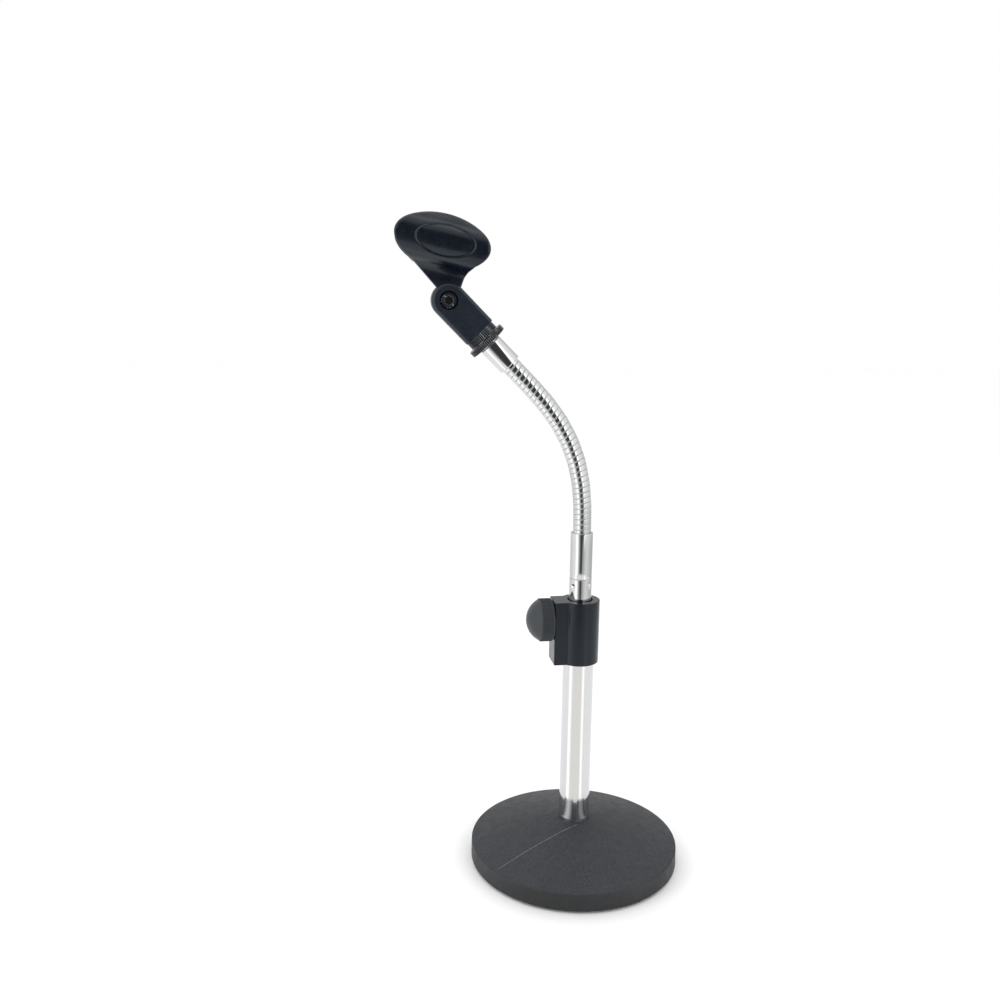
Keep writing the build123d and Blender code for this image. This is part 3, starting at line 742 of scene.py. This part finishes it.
# ------------------------------------------------------------------------------------------- microphone clip
# The clip is drawn in its own axes, in millimetres from the middle of its wings: `a` along the microphone,
# `n` up across it, and y sideways.  The wings are a U-shaped shell cut to an oval seen from the side.
HALF_LENGTH, HALF_HEIGHT = 31.4, 16.9
BORE, WALL = 13.8, 3.0
MIDDLE = BORE + WALL / 2
CLOSE_IN = radians(38)  # above the middle, where the wings stop closing in and flare out
PANEL_DEPTH = 0.75
WEB_LEFT = ((-20.0, -13.0), (2.3, -29.0))
WEB_RIGHT = ((18.3, -30.0), (19.3, -19.5), (21.4, -14.4), (24.7, -10.6))
TONGUE = 3.5
WEB_FILLET = 8.0
WEB_FOOT = -30.0


def clip_point(a, y, n):
    """A point of the clip in the row frame."""
    x = a * cos(WING_TILT) + n * sin(WING_TILT)
    z = -a * sin(WING_TILT) + n * cos(WING_TILT)
    return CLIP_MIDDLE + Vector((x, y, z)) * MM


def follow(points, n):
    """Where a broken line through (a, n) points is at height n."""
    ordered = sorted(points, key=lambda p: p[1])
    if n <= ordered[0][1]:
        return ordered[0][0]
    for (a0, n0), (a1, n1) in zip(ordered, ordered[1:]):
        if n <= n1:
            return a0 + (a1 - a0) * (n - n0) / (n1 - n0)
    return ordered[-1][0]


def smooth_follow(points, n, reach=2.0):
    """The same, with its corners rounded over `reach`."""
    taps = [k / 4 for k in range(-4, 5)]
    weights = [1 - abs(t) * 0.8 for t in taps]
    return sum(w * follow(points, n + reach * t) for w, t in zip(weights, taps)) / sum(weights)


def outline(n):
    """The lowest and highest `a` of the clip's side view at height n."""
    oval = HALF_LENGTH * sqrt(max(0.0, 1 - (n / HALF_HEIGHT) ** 2)) if abs(n) < HALF_HEIGHT else 0.0
    left, right = -oval, oval
    if n < WEB_LEFT[0][1]:
        slope = (WEB_LEFT[1][0] - WEB_LEFT[0][0]) / (WEB_LEFT[1][1] - WEB_LEFT[0][1])
        left = WEB_LEFT[0][0] + slope * (n - WEB_LEFT[0][1])
    if n < WEB_RIGHT[-1][1]:
        right = smooth_follow(WEB_RIGHT, n, 1.6)
    return left, right


def section(angle_or_rise):
    """Point (y, n) and outward normal on the middle of the U-shaped wall.

    Values up to pi/2 + CLOSE_IN are angles from the bottom; above that, they go on up the flared lip.
    """
    end = pi / 2 + CLOSE_IN
    if angle_or_rise <= end:
        y, n = sin(angle_or_rise), -cos(angle_or_rise)
        return Vector((y * MIDDLE, n * MIDDLE)), Vector((y, n))
    y0, n0 = sin(end) * MIDDLE, -cos(end) * MIDDLE
    t = min(1.0, angle_or_rise - end)
    rise = HALF_HEIGHT - n0
    # The lip leaves the arc at its slope and bends outwards.
    lean0 = -tan(CLOSE_IN)
    lean1 = 0.75
    y = y0 + rise * (lean0 * t + (lean1 - lean0) * t * t / 2)
    slope = lean0 + (lean1 - lean0) * t
    return Vector((y, n0 + rise * t)), Vector((1, -slope)).normalized()


def groove_depth(a, n):
    """How far the wing's outer face is sunk at (a, n): an oval panel, deepest just inside its edge."""
    shift_a, shift_n, long_axis, short_axis, turn = 1.9, 0.4, 19.7, 9.25, radians(-1.0)
    a, n = a - shift_a, n - shift_n
    u, v = a * cos(turn) - n * sin(turn), a * sin(turn) + n * cos(turn)
    e = sqrt((u / long_axis) ** 2 + (v / short_axis) ** 2)
    edge = 1.0 + 0.035
    inner = 1.0 - 0.065
    if e >= edge:
        return 0.0
    if e > inner:
        t = (edge - e) / (edge - inner)
        return PANEL_DEPTH * (3 * t * t - 2 * t**3)
    return PANEL_DEPTH * (0.25 + 0.75 * (e / inner) ** 3)


def wing_rows():
    """Section values from the bottom of the U up one wing to its tip, finer near the tip."""
    end = pi / 2 + CLOSE_IN
    arc = [end * k / 96 for k in range(97)]
    lip = [end + sin(pi / 2 * k / 44) for k in range(1, 44)]
    return arc + lip + [end + 0.9995]


def build_clip():
    """Shell of the wings, the web under it and the tongue in the clevis."""
    edge = [0.0, 0.012, 0.04, 0.09, 0.17, 0.28, 0.42, 0.60, 0.80, 1.0]
    rim = 1.5
    across = 150
    verts, faces = [], []
    grids = {}
    rows = wing_rows()
    for side in (1, -1):
        for face in (1, -1):
            grid = []
            for value in rows:
                (y, n), normal = section(value)
                left, right = outline(n)
                width = right - left
                r = min(rim, width / 2)
                places = [left + r * e for e in edge]
                places += [left + r + (width - 2 * r) * k / across for k in range(1, across)]
                places += [right - r * e for e in reversed(edge)]
                line = []
                for a in places:
                    oval = sqrt(n**2 + (a * HALF_HEIGHT / HALF_LENGTH) ** 2)
                    top_inset = max(0.0, HALF_HEIGHT - oval) if n > 0 else rim
                    inset = min(a - left, right - a, top_inset)
                    t = min(1.0, inset / rim)
                    half = WALL / 2 * sqrt(max(0.0, 1 - (1 - t) ** 2))
                    if face > 0:
                        half -= groove_depth(a, n)
                    at = Vector((y, n)) + normal * half * face
                    at.y = min(at.y, HALF_HEIGHT * sqrt(max(0.0, 1 - (a / HALF_LENGTH) ** 2)))
                    line.append(len(verts))
                    verts.append(clip_point(a, side * at.x, at.y))
                grid.append(line)
            grids[side, face] = grid
            for low, high in zip(grid, grid[1:]):
                for k in range(len(low) - 1):
                    quad = (low[k], low[k + 1], high[k + 1], high[k])
                    faces.append(quad if side * face > 0 else quad[::-1])
        for end in (0, -1):
            for j in range(len(rows) - 1):
                o, i = grids[side, 1], grids[side, -1]
                quad = (o[j][end], o[j + 1][end], i[j + 1][end], i[j][end])
                faces.append(quad if (side > 0) == (end == 0) else quad[::-1])
        o, i = grids[side, 1][-1], grids[side, -1][-1]
        for k in range(len(o) - 1):
            quad = (o[k], o[k + 1], i[k + 1], i[k])
            faces.append(quad if side > 0 else quad[::-1])
    return joined((verts, faces), build_web(), build_tongue())


def web_half_width(n):
    """Half the web's width at height n: the tongue's, then a fillet up to the shell."""
    centre_y = TONGUE + WEB_FILLET
    outer = BORE + WALL
    centre_n = -sqrt((outer + WEB_FILLET) ** 2 - centre_y**2)
    if n < centre_n:
        return TONGUE
    return centre_y - sqrt(max(0.0, WEB_FILLET**2 - (n - centre_n) ** 2))


def build_web():
    """Web between the tongue and the shell, flared into both."""
    outer = BORE + WALL
    centre_y = TONGUE + WEB_FILLET
    centre_n = -sqrt((outer + WEB_FILLET) ** 2 - centre_y**2)
    top = centre_n * outer / (outer + WEB_FILLET)
    steps, round_edge = 60, 1.2
    verts, faces, rings = [], [], []
    for k in range(steps + 1):
        n = WEB_FOOT + (top - WEB_FOOT) * k / steps
        left, right = outline(n)
        half = web_half_width(n)
        r = min(round_edge, half * 0.8)
        loop = []
        for centre_a, centre_w, start in (
            (right - r, half - r, 0), (left + r, half - r, 90),
            (left + r, r - half, 180), (right - r, r - half, 270),
        ):
            for q in range(8):
                angle = radians(start + 90 * q / 7)
                loop.append((centre_a + r * cos(angle), centre_w + r * sin(angle)))
        rings.append([len(verts) + j for j in range(len(loop))])
        verts += [clip_point(a, y, n) for a, y in loop]
    for low, high in zip(rings, rings[1:]):
        for j in range(len(low)):
            m = (j + 1) % len(low)
            faces.append((low[j], low[m], high[m], high[j]))
    faces += [rings[0][::-1], rings[-1]]
    return verts, faces


def build_tongue():
    """Round end of the tongue, bored for the pivot bolt."""
    bore, radius = 2.55, 9.5
    profile = rounded([
        (bore, -TONGUE, 0), (radius, -TONGUE, 0.4), (radius, TONGUE, 0.4), (bore, TONGUE, 0),
        (bore, -TONGUE, 0),
    ])
    return lathe(profile, joint_point("clip_tilt"), joint_axis("clip_tilt"), 96)


# ------------------------------------------------------------------------------------------- build
bevel = frame["nodes"]["clip_barrel"].modifiers.new("softened_edges", "BEVEL")
bevel.width = 0.25 * MM
bevel.segments = 3
bevel.limit_method = "ANGLE"
bevel.angle_limit = radians(50)
build_inner_tube()
build_lower_ferrule()
build_coil()
build_upper_ferrule()
build_lock_ring()
build_thread_insert()
build_knob()
build_pivot_bolt()
piece("clip_shell", *build_clip(), "clip_holder", "clip")

# ------------------------------------------------------------------------------------------- camera
CAMERA_PLACE = Vector((-0.1225, -0.674, 0.400))
CAMERA_HEADING = radians(5.5)  # turned from +Y towards +X
CAMERA_PITCH = radians(10.82)  # below the horizon
CAMERA_ROLL = radians(0.77)
camera_data = bpy.data.cameras.new("camera")
camera_data.lens = 36.2
camera_data.sensor_width = 36.0
camera = bpy.data.objects.new("camera", camera_data)
look = Quaternion((0, 0, 1), -CAMERA_HEADING) @ Quaternion((1, 0, 0), pi / 2 - CAMERA_PITCH)
camera.rotation_mode = "QUATERNION"
camera.rotation_quaternion = look @ Quaternion((0, 0, 1), CAMERA_ROLL)
camera.location = CAMERA_PLACE
bpy.context.scene.collection.objects.link(camera)
bpy.context.scene.camera = camera
bpy.context.scene.view_settings.view_transform = "Standard"

# ------------------------------------------------------------------------------------------- studio
floor_mesh = bpy.data.meshes.new("floor")
FLOOR_REACH = 6.0
corners = [(x * FLOOR_REACH, y * FLOOR_REACH, -0.0002) for x, y in ((-1, -1), (1, -1), (1, 1), (-1, 1))]
floor_mesh.from_pydata(corners, [], [(0, 1, 2, 3)])
floor_shader = Shader("white_paper", Roughness=1.0, Specular_IOR_Level=0.0)
floor_shader.colour(floor_shader.mix(floor_shader.noise(0.4), (0.96, 0.96, 0.96), (0.97, 0.97, 0.97)))
floor_mesh.materials.append(floor_shader.material)
studio_floor = bpy.data.objects.new("floor", floor_mesh)
bpy.context.scene.collection.objects.link(studio_floor)


def compass(degrees_left_of_front, distance, height):
    """A place round the stand: degrees are from -Y towards -X."""
    angle = radians(degrees_left_of_front)
    return Vector((-sin(angle) * distance, -cos(angle) * distance, height))


def aimed(place, target):
    """The rotation of a light at place that points at target."""
    return (Vector(target) - place).to_track_quat("-Z", "Y")


def softbox(name, place, width, height, watts, target=(0, 0, 0.25)):
    """A rectangular area light."""
    light = bpy.data.lights.new(name, "AREA")
    light.shape = "RECTANGLE"
    light.size = width
    light.size_y = height
    light.energy = watts
    holder = bpy.data.objects.new(name, light)
    holder.location = place
    holder.rotation_mode = "QUATERNION"
    holder.rotation_quaternion = aimed(place, target)
    bpy.context.scene.collection.objects.link(holder)
    return holder


softbox("key_light", compass(66, 1.5, 0.95), 0.5, 1.5, 4.0)
softbox("side_light", compass(-40, 1.7, 1.1), 0.5, 1.3, 2.5)
softbox("top_light", Vector((0.0, 0.15, 1.9)), 1.4, 1.4, 3.0)


def reflection_card(name, places, shades, columns, one_sided=False):
    """A glowing card seen only in reflections, as a grid of places with a colour at each."""
    rows = len(places) // columns
    quads = [
        (r * columns + c, r * columns + c + 1, (r + 1) * columns + c + 1, (r + 1) * columns + c)
        for r in range(rows - 1) for c in range(columns - 1)
    ]
    mesh = bpy.data.meshes.new(name)
    mesh.from_pydata([tuple(p) for p in places], [], quads)
    layer = mesh.color_attributes.new("shade", "FLOAT_COLOR", "POINT")
    for value, shade in zip(layer.data, shades):
        value.color = (*shade, 1)
    material = bpy.data.materials.new(name)
    material.use_nodes = True
    tree = material.node_tree
    tree.nodes.remove(tree.nodes["Principled BSDF"])
    colour = tree.nodes.new("ShaderNodeVertexColor")
    colour.layer_name = "shade"
    glow = tree.nodes.new("ShaderNodeEmission")
    tree.links.new(colour.outputs["Color"], glow.inputs["Color"])
    surface = glow.outputs["Emission"]
    if one_sided:
        # Rays from below go through, so that what it lies on doesn't see it.
        clear = tree.nodes.new("ShaderNodeBsdfTransparent")
        side = tree.nodes.new("ShaderNodeNewGeometry")
        choice = tree.nodes.new("ShaderNodeMixShader")
        tree.links.new(side.outputs["Backfacing"], choice.inputs["Fac"])
        tree.links.new(surface, choice.inputs[1])
        tree.links.new(clear.outputs["BSDF"], choice.inputs[2])
        surface = choice.outputs["Shader"]
    tree.links.new(surface, tree.nodes["Material Output"].inputs["Surface"])
    mesh.materials.append(material)
    card = bpy.data.objects.new(name, mesh)
    bpy.context.scene.collection.objects.link(card)
    card.visible_camera = False
    card.visible_diffuse = False
    card.visible_shadow = False
    card.visible_transmission = False


TABLE_REACH = ((0.085, 0.0003), (3.0, 0.0003))  # (distance, height) at each end of a strip on the table
BASE_REACH = ((0.0125, 0.0325), (0.075, 0.0155))  # and of one over the base


def floor_strip(name, middle, half_width, shade, edge_shade, reach=TABLE_REACH, one_sided=False):
    """A wedge over the table or base, brightest along its middle, that draws a line up every chrome tube."""
    places, shades = [], []
    shares = (0, 0.15, 0.5, 0.85, 1, 0.85, 0.5, 0.15, 0)
    for distance, height in reach:
        for k, share in enumerate(shares):
            places.append(compass(middle + (k / 4 - 1) * half_width, distance, height))
            shades.append([edge + share * (full - edge) for edge, full in zip(edge_shade, shade)])
    reflection_card(name, places, shades, len(shares), one_sided)


FLOOR_LIGHT = (1.08, 1.08, 1.075)
WARM_LIGHT = (1.05, 1.035, 0.99)
floor_strip("left_strip", 62, 19, (1.75, 1.75, 1.73), FLOOR_LIGHT)
floor_strip("right_strip", -33, 15, (1.65, 1.65, 1.6), FLOOR_LIGHT)
floor_strip("middle_strip", 12.5, 30, WARM_LIGHT, WARM_LIGHT)
# The two bright strips carry on, fainter, over the base, and show in the polish at the tube's foot.
BASE_SHADE = (0.07, 0.07, 0.075)
floor_strip("left_foot_strip", 49, 33, (0.66, 0.67, 0.68), BASE_SHADE, BASE_REACH, True)
floor_strip("right_foot_strip", -38, 27, (0.31, 0.32, 0.33), BASE_SHADE, BASE_REACH, True)


def low_room(degrees):
    """Light of the room low down: bright on the left, dark where the camera stands, grey on the right."""
    return follow((
        (0.65, -134), (0.62, -106), (0.68, -89), (0.76, -75), (0.88, -58), (0.92, -42), (0.78, -28),
        (0.62, -17), (0.48, -9), (0.38, -2), (0.06, 3), (0.05, 12), (0.17, 20), (0.5, 29), (0.9, 38),
        (1.6, 45), (1.6, 62), (1.1, 72), (1.04, 104), (0.88, 120), (0.88, 150),
    ), degrees)


def high_room(degrees, height):
    """Light of the room at the height of the neck.

    The dark place reaches further right the higher it is, and a tall bright window stands beside it.
    """
    beyond = -8 - 40 * (height - 0.12) - degrees
    if beyond < 0:
        return low_room(max(degrees - 5, 12))
    return follow((
        (0.03, 0), (0.4, 1.5), (2.0, 3.5), (2.1, 13), (1.15, 20), (1.12, 44), (1.0, 64), (0.85, 90),
        (0.85, 140),
    ), beyond)


def build_room():
    """The room past the table's edge, seen only in reflections."""
    places, shades = [], []
    columns = [-134 + 2 * k for k in range(143)]
    for height in [0.05 * k for k in range(21)]:
        share = min(1.0, max(0.0, (height - 0.12) / 0.08))
        for degrees in columns:
            shade = low_room(degrees) * (1 - share) + (share and high_room(degrees, height) * share)
            places.append(compass(degrees, 0.6, height))
            shades.append((shade, shade, shade))
    reflection_card("room_wall", places, shades, len(columns))


build_room()


def build_world():
    """White room for light and background; reflections see a greyer room, darker on the right."""
    world = bpy.data.worlds.new("studio")
    world.use_nodes = True
    tree = world.node_tree
    background = tree.nodes["Background"]
    output = tree.nodes["World Output"]
    background.inputs["Color"].default_value = (1, 1, 1, 1)
    background.inputs["Strength"].default_value = 1.03
    room = tree.nodes.new("ShaderNodeBackground")
    place = tree.nodes.new("ShaderNodeTexCoord")
    split = tree.nodes.new("ShaderNodeSeparateXYZ")
    ramp = tree.nodes.new("ShaderNodeValToRGB")
    mix = tree.nodes.new("ShaderNodeMixShader")
    path = tree.nodes.new("ShaderNodeLightPath")
    shift = tree.nodes.new("ShaderNodeMapRange")
    shift.inputs["From Min"].default_value = -1.0
    tree.links.new(place.outputs["Generated"], split.inputs["Vector"])
    tree.links.new(split.outputs["X"], shift.inputs["Value"])
    tree.links.new(shift.outputs["Result"], ramp.inputs["Fac"])
    ramp.color_ramp.elements[0].position = 0.25
    ramp.color_ramp.elements[0].color = (0.95, 0.95, 0.95, 1)
    ramp.color_ramp.elements[1].position = 0.75
    ramp.color_ramp.elements[1].color = (0.7, 0.7, 0.7, 1)
    tree.links.new(ramp.outputs["Color"], room.inputs["Color"])
    white = tree.nodes.new("ShaderNodeBackground")
    white.inputs["Color"].default_value = (1, 1, 1, 1)
    seen = tree.nodes.new("ShaderNodeMixShader")
    tree.links.new(path.outputs["Is Camera Ray"], seen.inputs["Fac"])
    tree.links.new(background.outputs["Background"], seen.inputs[1])
    tree.links.new(white.outputs["Background"], seen.inputs[2])
    tree.links.new(path.outputs["Is Glossy Ray"], mix.inputs["Fac"])
    tree.links.new(seen.outputs["Shader"], mix.inputs[1])
    tree.links.new(room.outputs["Background"], mix.inputs[2])
    tree.links.new(mix.outputs["Shader"], output.inputs["Surface"])
    bpy.context.scene.world = world


build_world()
